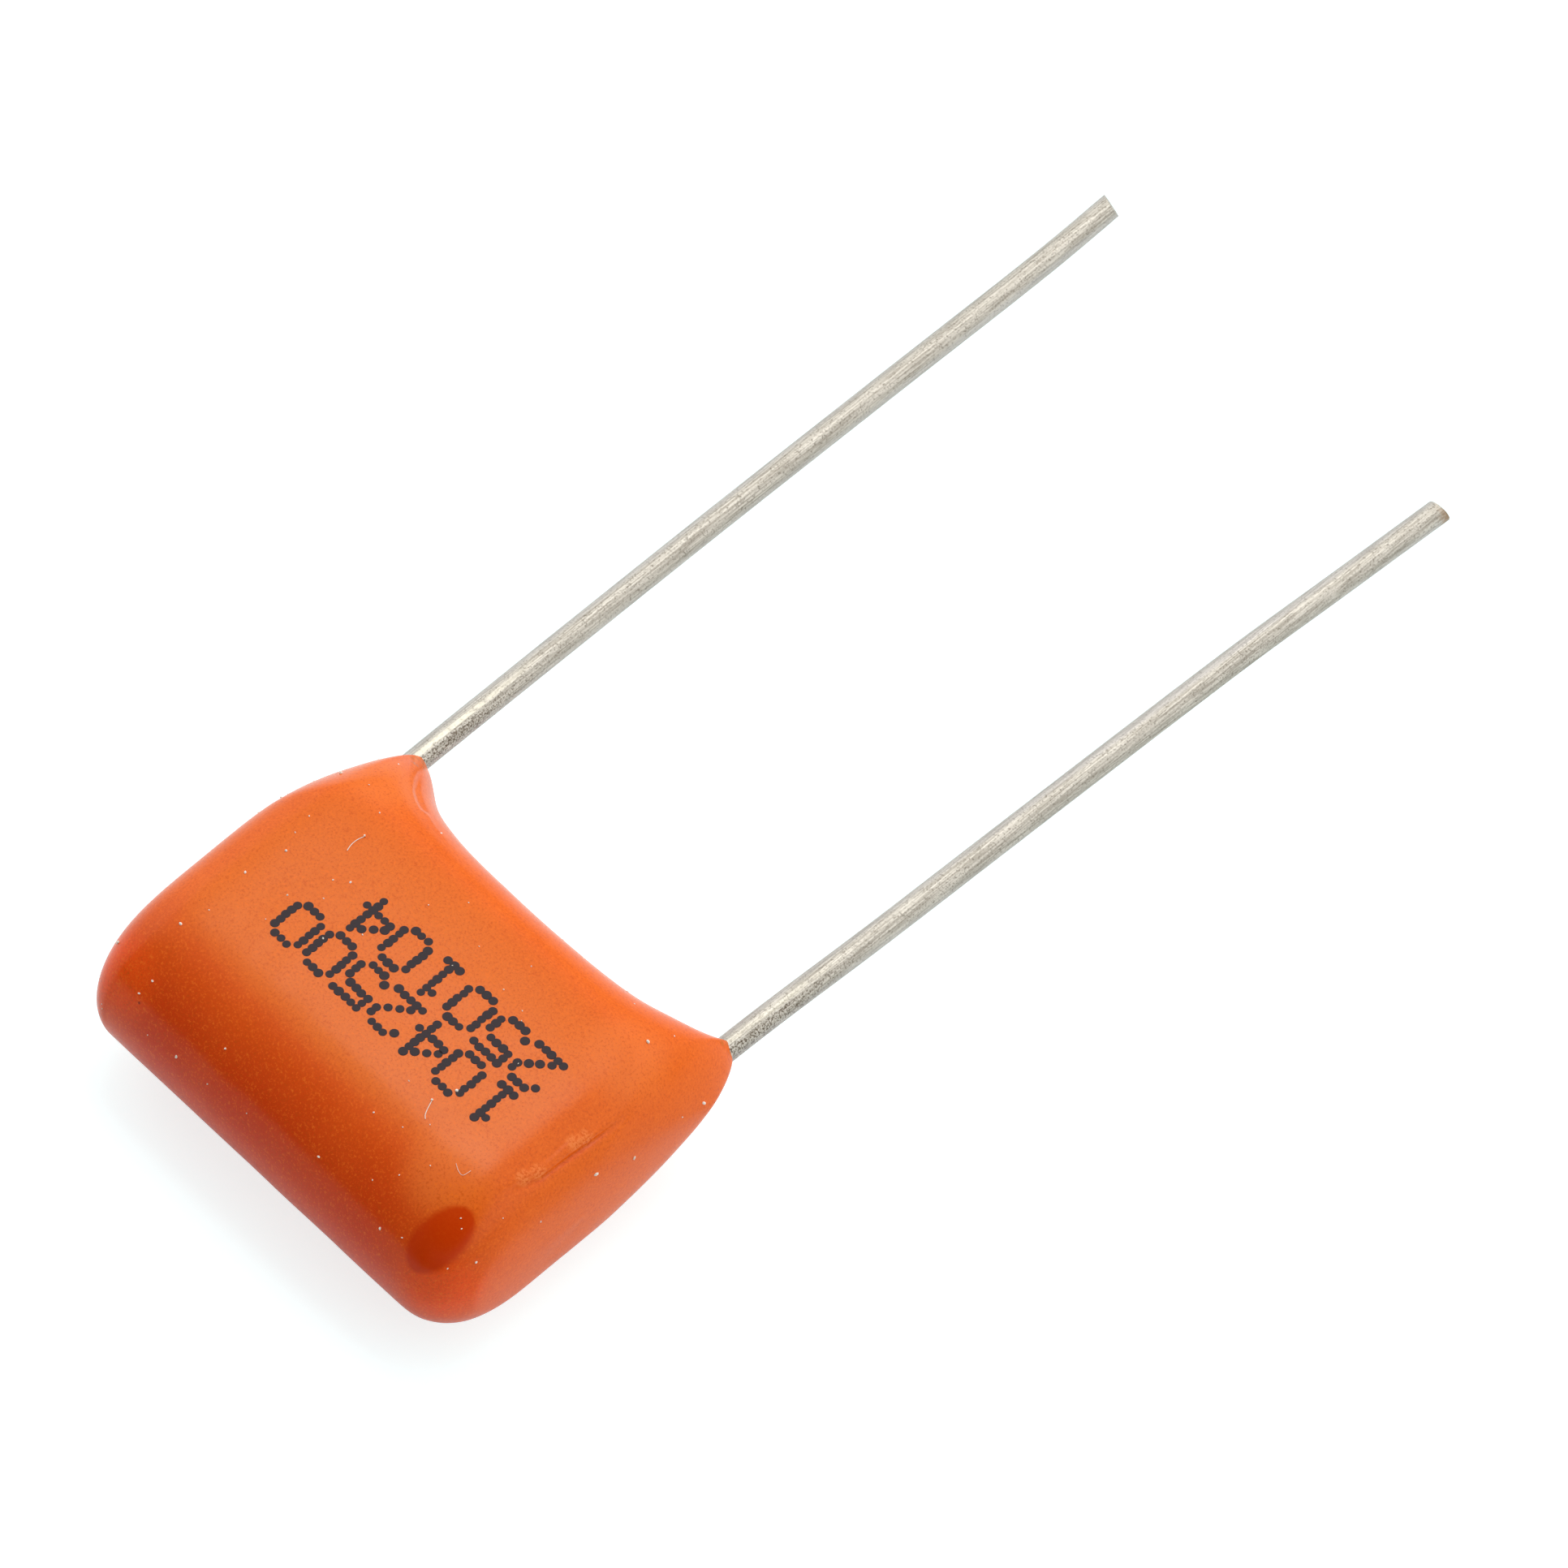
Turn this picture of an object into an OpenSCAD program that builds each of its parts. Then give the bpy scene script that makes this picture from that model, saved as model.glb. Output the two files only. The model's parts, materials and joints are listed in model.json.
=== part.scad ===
// Radial film capacitor with a dipped resin coating, lying on its flat side.
// X runs along the roll from the left lead to the right lead, Y along the leads to their tips,
// and Z up from the flat side. The origin is under the middle of the roll. Lengths are in millimetres.

/* [Film winding] */
// Length of the roll, from one sprayed end to the other
winding_l = 8.8; // [7:0.1:12]
// Height of the pressed roll, along the leads
winding_h = 7.3; // [6:0.1:9]
// Thickness of the pressed roll
winding_t = 3.85; // [3:0.05:5]

/* [End contacts] */
// Thickness of the sprayed metal on each end of the roll
contact_t = 0.4; // [0.25:0.05:0.7]

/* [Leads] */
// Diameter of the tinned wire
lead_d = 0.6; // [0.5:0.05:0.8]
// Depth that each wire is sunk into its end contact
lead_bite = 0.1; // [0.05:0.01:0.15]
// Distance from the front edge of the roll to the buried end of each wire
lead_setback = 0.8; // [0.3:0.1:2]
// Length of the left wire from the tip of its horn
left_lead_free = 21.9; // [5:0.1:30]
// Length of the right wire from the tip of its horn
right_lead_free = 21.4; // [5:0.1:30]
// Straight stretch of each wire between its horn and its kink
kink_start = 0.2; // [0.1:0.05:1]
// Angle that the left wire leans outwards, in degrees
left_splay = 1; // [0.5:0.1:5]
// Angle that the right wire leans outwards, in degrees
right_splay = 1.8; // [0.5:0.1:5]
// Slant of the snipped tip of each wire, in degrees
snip_angle = 8; // [1:1:30]

/* [Resin coating] */
// Thickness of resin on the two flat sides
coat_flat = 0.5; // [0.3:0.05:0.8]
// Thickness of resin over the front edge of the roll
coat_front = 0.6; // [0.4:0.05:1]
// Thickness of resin over the roll in the middle of the saddle
coat_saddle = 0.5; // [0.3:0.05:1]
// Thickness of resin outside each wire
coat_end = 0.55; // [0.4:0.05:1]
// Height of the shoulders above the middle of the saddle
saddle_depth = 0.75; // [0.3:0.05:1.2]
// Power of the saddle's curve: 2 is a parabola and more is flatter in the middle
saddle_power = 2.2; // [1.6:0.1:4]

/* [Horns round the leads] */
// Height of the left horn above the shoulder
left_horn_h = 0.55; // [0.3:0.05:1]
// Height of the right horn above the shoulder
right_horn_h = 0.5; // [0.3:0.05:1]
// Length over which the left horn falls away towards the saddle
left_horn_inner = 0.7; // [0.3:0.05:0.9]
// Length over which the right horn falls away towards the saddle
right_horn_inner = 0.45; // [0.3:0.05:0.9]
// Length over which the left horn falls away towards the end wall
left_horn_outer = 0.4; // [0.3:0.05:0.9]
// Length over which the right horn falls away towards the end wall
right_horn_outer = 0.6; // [0.3:0.05:0.9]

/* [Rounded edges] */
// Length of the rounded front edge, along the leads
front_nose = 2.75; // [2:0.05:3]
// Squareness of the front edge: 2 is an ellipse and more is squarer
front_power = 2.2; // [2:0.1:3]
// Length of the rounded lead-side edge in the middle of the saddle, along the leads
saddle_nose = 1.55; // [1.2:0.05:2.2]
// Squareness of the lead-side edge in the middle of the saddle
saddle_nose_power = 2; // [2:0.1:3]
// Squareness of the lead-side edge at the horns: less than 2 is pointed
horn_nose_power = 1.4; // [1.3:0.05:2]

/* [End walls] */
// Height of the flat end walls
end_wall_h = 1.9; // [1:0.1:2.6]
// Width of the round-over from the flat sides to an end wall, along the roll
end_round_w = 1.75; // [0.8:0.05:2]
// Width of the front corners, along the roll
front_corner_w = 1.1; // [0.6:0.1:1.6]
// Length of the rounded front edge at the end walls
front_end_nose = 1.05; // [0.4:0.05:1.6]
// Width of the left shoulder's corner, along the roll
left_corner_w = 1.3; // [0.6:0.1:1.6]
// Width of the right shoulder's corner, along the roll
right_corner_w = 1.2; // [0.6:0.1:1.6]
// Length of the rounded lead-side edge at the left end wall
left_end_nose = 0.3; // [0.2:0.05:1]
// Length of the rounded lead-side edge at the right end wall
right_end_nose = 0.75; // [0.2:0.05:1]

/* [Hidden] */
$fn = 48;

// Places that the pieces share
lead_x = winding_l / 2 + contact_t + lead_d / 2 - lead_bite;
half_w = lead_x + lead_d / 2 + coat_end;
half_t = winding_t / 2 + coat_flat;
front_y = -winding_h / 2 - coat_front;
saddle_y = winding_h / 2 + coat_saddle;
shoulder_y = saddle_y + saddle_depth;
lead_start_y = -winding_h / 2 + lead_setback;

// Limits along the leads of the two flat sides of the coating
flat_front_y = front_y + front_nose;
flat_back_y = saddle_y - saddle_nose;

// Steps of the lofted coating: stations outside and between the leads, and points round each edge
end_steps = 8;
saddle_steps = 32;
nose_steps = 18;

// Value for the side that station x is on, and a value that is a share of the way between two others
function by_side(x, left, right) = x < 0 ? left : right;
function between(from, to, share) = from + (to - from) * share;

// Share of a corner that is rounded away at station x: 0 inside and 1 at the end wall
function rounded(x, corner_w) =
    let (u = min(1, max(0, (abs(x) - half_w + corner_w) / corner_w)))
    1 - sqrt(1 - u * u);

// Share of the way from the middle of the saddle to a lead
function to_lead(x) = min(1, abs(x) / lead_x);

// Height of the horn at station x, which is a cusp at its lead
function horn(x) =
    let (
        beyond = abs(x) - lead_x,
        inner = by_side(x, left_horn_inner, right_horn_inner),
        outer = by_side(x, left_horn_outer, right_horn_outer)
    )
    by_side(x, left_horn_h, right_horn_h) * exp(-abs(beyond) / (beyond > 0 ? outer : inner));

// Front edge, lead-side edge and half thickness of the coating at station x
function front_edge(x) = between(front_y, flat_front_y - front_end_nose, rounded(x, front_corner_w));
function lead_edge(x) =
    between(
        saddle_y + saddle_depth * pow(to_lead(x), saddle_power) + horn(x),
        flat_back_y + by_side(x, left_end_nose, right_end_nose),
        rounded(x, by_side(x, left_corner_w, right_corner_w))
    );
function half_height(x) = between(half_t, end_wall_h / 2, rounded(x, end_round_w));
function lead_nose_power(x) = between(saddle_nose_power, horn_nose_power, pow(to_lead(x), 3));

// One rounded edge as a half superellipse, from its lower end to its upper end
function nose(reach, height, power) = [
    for (i = [0:nose_steps])
        let (a = -90 + 180 * i / nose_steps)
        [reach * pow(max(0, cos(a)), 2 / power), height * sign(sin(a)) * pow(abs(sin(a)), 2 / power)]
];

// Section of the coating at station x, as points that run up the lead side and down the front
function section(x) =
    let (
        height = half_height(x),
        lead_side = nose(lead_edge(x) - flat_back_y, height, lead_nose_power(x)),
        front_side = nose(flat_front_y - front_edge(x), height, front_power)
    )
    concat(
        [for (p = lead_side) [x, flat_back_y + p[0], half_t + p[1]]],
        [for (i = [nose_steps:-1:0]) [x, flat_front_y - front_side[i][0], half_t + front_side[i][1]]]
    );

// Stations from the left end wall to the right one, closest together at the walls and the leads
function right_stations() = [
    for (i = [end_steps - 1:-1:0]) half_w - (half_w - lead_x) * (1 - cos(90 * i / end_steps))
];
function stations() = concat(
    [for (i = [end_steps - 1:-1:0]) -right_stations()[i]],
    [for (i = [0:saddle_steps]) lead_x * sin(180 * i / saddle_steps - 90)],
    right_stations()
);

// Solid through all the sections, closed by the two end walls
module loft(rings) {
    n = len(rings[0]);
    last = (len(rings) - 1) * n;
    sides = [
        for (i = [0:len(rings) - 2], j = [0:n - 1])
            let (a = i * n + j, b = i * n + (j + 1) % n)
            each [[a, a + n, b + n], [a, b + n, b]]
    ];
    walls = [
        [for (j = [0:n - 1]) j],
        [for (j = [n - 1:-1:0]) last + j]
    ];
    polyhedron(points = [for (ring = rings) each ring], faces = concat(sides, walls));
}

// Flat-oval slab of the pressed roll's section, from x to x + l
module oval_slab(x, l) {
    translate([x, 0, half_t]) rotate([90, 0, 90]) linear_extrude(height = l) {
        square([winding_h - winding_t, winding_t], center = true);
        for (side = [-1, 1])
            translate([side * (winding_h - winding_t) / 2, 0]) circle(d = winding_t);
    }
}

// Wire on the right-hand side: buried stretch, and free stretch that leans outwards from a mitred kink
module wire(horn_h, free_l, splay) {
    kink_y = shoulder_y + horn_h + kink_start;
    straight_l = free_l - kink_start;
    cut = 4 * lead_d;
    translate([lead_x, 0, half_t]) {
        difference() {
            translate([0, lead_start_y, 0]) rotate([-90, 0, 0])
                cylinder(d = lead_d, h = kink_y + lead_d - lead_start_y);
            translate([0, kink_y, 0]) rotate([0, 0, -splay / 2]) translate([-cut / 2, 0, -cut / 2]) cube(cut);
        }
        difference() {
            translate([0, kink_y, 0]) rotate([0, 0, -splay]) translate([0, -lead_d, 0]) rotate([-90, 0, 0])
                cylinder(d = lead_d, h = straight_l + 2 * lead_d);
            translate([0, kink_y, 0]) rotate([0, 0, -splay / 2]) translate([-cut / 2, -cut, -cut / 2]) cube(cut);
            translate([0, kink_y, 0]) rotate([0, 0, -splay]) translate([0, straight_l, 0])
                rotate([0, 0, snip_angle]) translate([-cut / 2, 0, -cut / 2]) cube(cut);
        }
    }
}

// Sprayed metal on the right-hand end of the roll, with the groove that its wire has bitten into it
module contact() {
    difference() {
        oval_slab(winding_l / 2, contact_t);
        wire(right_horn_h, right_lead_free, right_splay);
    }
}

module film_winding() {
    color([0.78, 0.79, 0.80]) oval_slab(-winding_l / 2, winding_l);
}

module left_end_contact() {
    color([0.60, 0.61, 0.63]) mirror([1, 0, 0]) contact();
}

module right_end_contact() {
    color([0.60, 0.61, 0.63]) contact();
}

module left_lead() {
    color([0.77, 0.75, 0.71]) mirror([1, 0, 0]) wire(left_horn_h, left_lead_free, left_splay);
}

module right_lead() {
    color([0.77, 0.75, 0.71]) wire(right_horn_h, right_lead_free, right_splay);
}

// Dipped shell that fills all the room round the roll, its contacts and the buried wires
module resin_coating() {
    color([0.91, 0.40, 0.17]) difference() {
        loft([for (x = stations()) section(x)]);
        oval_slab(-winding_l / 2 - contact_t, winding_l + 2 * contact_t);
        left_lead();
        right_lead();
    }
}

resin_coating();
film_winding();
left_end_contact();
right_end_contact();
left_lead();
right_lead();
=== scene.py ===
"""Film capacitor with a dipped orange coating: its pieces, finishes and studio, on the packed frame."""
import json
import math

import bpy
import numpy as np
from bpy.props import FloatProperty, FloatVectorProperty, IntProperty, PointerProperty, StringProperty
from mathutils import Matrix, Vector


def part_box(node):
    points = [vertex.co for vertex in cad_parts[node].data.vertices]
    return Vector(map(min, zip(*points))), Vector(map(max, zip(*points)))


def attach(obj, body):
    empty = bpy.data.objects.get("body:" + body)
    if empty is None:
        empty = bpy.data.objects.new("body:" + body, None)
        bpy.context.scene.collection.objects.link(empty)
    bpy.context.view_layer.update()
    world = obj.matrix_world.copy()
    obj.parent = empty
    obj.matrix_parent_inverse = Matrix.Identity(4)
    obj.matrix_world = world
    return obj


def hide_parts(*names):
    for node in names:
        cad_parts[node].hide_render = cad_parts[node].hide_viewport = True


bl_info = {
    "name": "Film capacitor",
    "version": (1, 0, 0),
    "blender": (4, 5, 0),
    "location": "View3D > Sidebar > Capacitor",
    "description": "Dresses a dipped film capacitor and sets up its studio",
    "category": "Object",
}

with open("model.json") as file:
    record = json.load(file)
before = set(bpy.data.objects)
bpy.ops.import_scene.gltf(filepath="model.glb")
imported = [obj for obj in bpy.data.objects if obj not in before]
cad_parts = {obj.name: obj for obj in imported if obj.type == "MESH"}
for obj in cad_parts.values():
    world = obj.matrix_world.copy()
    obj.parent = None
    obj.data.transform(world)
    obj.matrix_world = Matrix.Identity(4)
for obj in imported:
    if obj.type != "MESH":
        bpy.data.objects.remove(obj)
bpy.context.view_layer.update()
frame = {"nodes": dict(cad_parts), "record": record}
MM = 0.001

# Places that the frame gives
COAT_LOW, COAT_HIGH = (Vector(corner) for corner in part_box("resin_coating"))
WIRE_LOW, WIRE_HIGH = (Vector(corner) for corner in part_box("left_lead"))
WIRE_D = WIRE_HIGH.z - WIRE_LOW.z
LEAD_X = WIRE_D / 2 - WIRE_HIGH.x
PINS = {mount["name"]: mount for mount in frame["record"]["mounts"] if mount["kind"] == "pin"}

# Frame of the photograph, in pixels
PHOTO_SIDE = 1932


# Kinds of setting

def length(name, description, default):
    return FloatProperty(name=name, description=description, default=default, unit="LENGTH", precision=6)


def number(name, description, default):
    return FloatProperty(name=name, description=description, default=default, precision=4)


def angle(name, description, degrees):
    default = math.radians(degrees)
    return FloatProperty(name=name, description=description, default=default, subtype="ANGLE", precision=4)


def count(name, description, default):
    return IntProperty(name=name, description=description, default=default, min=0)


def colour(name, description, default):
    return FloatVectorProperty(name=name, description=description, default=default, subtype="COLOR", size=3,
                               min=0, max=1)


def words(name, description, default):
    return StringProperty(name=name, description=description, default=default)


def both_sides(rows):
    """Adds a left and a right length to a group of settings for each row."""
    def add_rows(group):
        for key, name, description, *lengths in rows:
            for side, default in zip(("left", "right"), lengths):
                setting = length(f"{side.title()} {name}", f"{description}, on the {side}", default * MM)
                group.__annotations__[f"{side}_{key}"] = setting
        return group
    return add_rows


# Sizes of the coating that differ from side to side: key, name, description, and left and right millimetres
COATING_SIDES = (
    ("horn", "horn", "Height of the horn above the shoulder", 0.889, 0.479),
    ("shift", "horn shift", "Distance of the horn outside its lead's place", 0.062, 0.027),
    ("inner", "horn inside", "Length over which the horn falls to the saddle", 0.703, 0.432),
    ("outer", "horn outside", "Length over which the horn falls to the end wall", 0.442, 0.848),
    ("foot", "horn foot", "Swell of the saddle's edge at the foot of the horn", 0.078, 0.073),
    ("foot_at", "foot place", "Middle of the roll to the swell beside the horn", 4.4, 4.0),
    ("foot_width", "foot width", "Half width of the swell beside the horn", 0.4, 0.5),
    ("swell", "shoulder swell", "Swell of the shoulder outside the horn", 0.025, 0.145),
    ("corner", "shoulder", "Width of the shoulder's corner", 1.868, 1.475),
    ("draw", "shoulder draw", "Length by which the flats end earlier at the end wall", 2.017, 2.698),
    ("end_nose", "shoulder rounding", "Reach of the lead-side edge at the end wall", 0.232, 0.779),
    ("front_corner", "front corner", "Width of the front corner", 0.9, 1.337),
    ("front_nose", "front rounding", "Length of the front edge at the end wall", 1.148, 1.273),
    ("end_wall", "end wall", "Height of the end wall", 2.204, 1.814),
    ("end_round", "end rounding", "Width of the round-over to the end wall", 1.476, 2.028),
    ("wall", "wall swell", "Swell of the end wall", 0.101, 0.058),
    ("lean", "wall lean", "Rise of the wall's swell towards the leads", 0.034, -0.031),
    ("curve", "wall curve", "Rise of the wall's swell away from its middle", -0.08, -0.025),
)


@both_sides(COATING_SIDES)
class CoatingSettings(bpy.types.PropertyGroup):
    """Sizes and colour of the dipped coating"""
    half_width: length("Half width", "Middle of the roll to an end wall", COAT_HIGH.x)
    half_thickness: length("Half thickness", "Middle of the roll to a flat side", COAT_HIGH.z / 2)
    lead_x: length("Lead", "Middle of the roll to a lead", LEAD_X)
    front: length("Front edge", "Place of the front edge along the leads", COAT_LOW.y)
    saddle: length("Saddle", "Place of the middle of the saddle along the leads", 4.15 * MM)
    saddle_depth: length("Saddle depth", "Height of the shoulders above the middle of the saddle", 0.83 * MM)
    saddle_power: number("Saddle power", "Power of the saddle's curve", 2.81)
    saddle_nose: length("Saddle rounding", "Length of the rounded edge in the saddle's middle", 1.55 * MM)
    saddle_nose_power: number("Saddle edge power", "Squareness of the edge in the middle of the saddle", 2.0)
    horn_nose_power: number("Horn edge power", "Squareness of the edge at the horns", 1.4)
    horn_blunt: length("Horn bluntness", "Radius that softens the ridge of each horn", 0.03 * MM)
    left_corner_power: number("Left shoulder power", "Squareness of the left shoulder's corner", 2.26)
    right_corner_power: number("Right shoulder power", "Squareness of the right shoulder's corner", 2.278)
    end_nose_power: number("Shoulder edge power", "Squareness of the lead-side edge at the end walls", 1.284)
    front_nose: length("Front rounding", "Length of the rounded front edge", 2.75 * MM)
    front_power: number("Front power", "Squareness of the front edge", 2.09)
    front_corner_power: number("Front corner power", "Squareness of the front corners", 2.2)
    end_start_power: number("End rounding start", "Power with which the rounding leaves the flat sides", 2.8)
    end_power: number("End rounding power", "Power with which the round-over meets the end walls", 2.557)
    dome: length("Wall dome", "Fall of the end walls towards the flat sides", 0.35 * MM)
    crown: length("Crown", "Fall of the top from its middle to the ends", 0.08 * MM)
    fall_start: length("Start of the fall", "Place where the top begins to fall to the saddle", 0.5 * MM)
    fall: length("Fall", "Drop of the top at the start of the saddle's rounding", 0.085 * MM)
    unevenness: length("Unevenness", "Depth of the slow waves that dipping leaves", 0.012 * MM)
    colour: colour("Resin colour", "Colour of the coating", (0.82, 0.130, 0.0068))


class LeadSettings(bpy.types.PropertyGroup):
    """Sizes and colour of the tinned leads"""
    diameter: length("Diameter", "Diameter of the wire", WIRE_D)
    start: length("Buried end", "Place of the buried ends along the leads", WIRE_LOW.y)
    pit_depth: length("Pit depth", "Depth of the pits in the tin", 0.007 * MM)
    left_snip: angle("Left snip", "Slant of the left tip", 19)
    right_snip: angle("Right snip", "Slant of the right tip", 8)
    colour: colour("Tin colour", "Colour of the tinned surface", (0.515, 0.485, 0.427))
    copper: colour("Core colour", "Colour of the core at a snipped tip", (0.33, 0.20, 0.10))


class PrintSettings(bpy.types.PropertyGroup):
    """Words, sizes and colour of the dot print"""
    first: words("First row", "Numbers in the row nearest the front edge", "1042500")
    second: words("Second row", "Numbers in the row nearest the saddle", "250104")
    start: length("Start", "Place of the first character along the roll", 3.9 * MM)
    first_row: length("First row place", "Place of the first row's top along the leads", -1.03 * MM)
    row_pitch: length("Row pitch", "Distance from row to row", 1.28 * MM)
    letter_pitch: length("Letter pitch", "Distance from character to character", 1.025 * MM)
    dot: length("Dot", "Diameter of an ink dot", 0.222 * MM)
    pitch: length("Dot pitch", "Distance from dot to dot along a row", 0.187 * MM)
    rise: length("Dot rise", "Distance from dot to dot across a row", 0.165 * MM)
    thickness: length("Ink thickness", "Thickness of an ink dot", 0.008 * MM)
    colour: colour("Ink colour", "Colour of the ink", (0.026, 0.018, 0.021))


class DustSettings(bpy.types.PropertyGroup):
    """Amount and colour of the dust and lint on the coating"""
    density: number("Density", "Specks on each square millimetre", 0.42)
    speck: length("Speck", "Radius of a middling speck", 0.029 * MM)
    fibre: length("Fibre", "Radius of a lint fibre", 0.009 * MM)
    seed: count("Seed", "Seed of the specks' places", 7)
    colour: colour("Dust colour", "Colour of the dust", (0.98, 0.93, 0.80))


class StudioSettings(bpy.types.PropertyGroup):
    """Camera and light"""
    distance: length("Distance", "Distance of the camera from the place it looks at", 230 * MM)
    azimuth: angle("Azimuth", "Turn of the camera round the part", 46.4927)
    elevation: angle("Elevation", "Height of the camera above the floor", 57.4295)
    roll: angle("Roll", "Turn of the camera about its own line of sight", 2.9742)
    look_x: length("Look along the roll", "Place that the camera looks at, along the roll", 0.9008 * MM)
    look_y: length("Look along the leads", "Place that the camera looks at, along the leads", 10.8348 * MM)
    pixels_per_mm: number("Scale", "Pixels of the photograph for each millimetre at that place", 55.4951)
    key: number("Key light", "Brightness of the soft light that the top side mirrors", 3.3)
    room: number("Room", "Brightness of the room's soft lights", 1.0)
    floor_white: number("Floor white", "Share of the floor's look that is plain white", 0.75)


SETTINGS = {
    "capacitor_coating": CoatingSettings,
    "capacitor_leads": LeadSettings,
    "capacitor_print": PrintSettings,
    "capacitor_dust": DustSettings,
    "capacitor_studio": StudioSettings,
}


# Node trees

def plug(tree, item, socket):
    """Links a value of the tree to a socket, or sets the socket to a constant."""
    if isinstance(item, Number):
        item = item.socket
    if isinstance(item, bpy.types.NodeSocket):
        tree.links.new(item, socket)
    else:
        socket.default_value = item


def add(tree, kind, inputs=None, **properties):
    """New node with its properties and its inputs, by name or place."""
    node = tree.nodes.new(kind)
    for key, value in properties.items():
        setattr(node, key, value)
    for key, item in (inputs or {}).items():
        plug(tree, item, node.inputs[key])
    return node


def smooth_rise(tree, value, low, high):
    """Smooth step of a value from 0 at low to 1 at high."""
    inputs = {"Value": value, "From Min": low, "From Max": high}
    node = add(tree, "ShaderNodeMapRange", inputs, interpolation_type="SMOOTHSTEP")
    return Number(tree, node.outputs[0])


class Number:
    """A number in a node tree, whose sums add the nodes that work them out."""

    def __init__(self, tree, socket):
        self.tree = tree
        self.socket = socket

    def sum(self, operation, *others):
        node = add(self.tree, "ShaderNodeMath", dict(enumerate((self, *others))), operation=operation)
        return Number(self.tree, node.outputs[0])

    def __add__(self, other):
        return self.sum("ADD", other)

    def __sub__(self, other):
        return self.sum("SUBTRACT", other)

    def __rsub__(self, other):
        return self.sum("MULTIPLY_ADD", -1, other)

    def __mul__(self, other):
        return self.sum("MULTIPLY", other)

    def __truediv__(self, other):
        return self.sum("DIVIDE", other)

    def __rtruediv__(self, other):
        return self.sum("POWER", -1) * other

    def __pow__(self, other):
        return self.sum("POWER", other)

    def size(self):
        return self.sum("ABSOLUTE")

    def root(self):
        return self.sum("SQRT")

    def within(self, low, high):
        return self.sum("MAXIMUM", low).sum("MINIMUM", high)

    def signed_power(self, power):
        return self.size() ** power * self.sum("SIGN")

    __radd__ = __add__
    __rmul__ = __mul__


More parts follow.
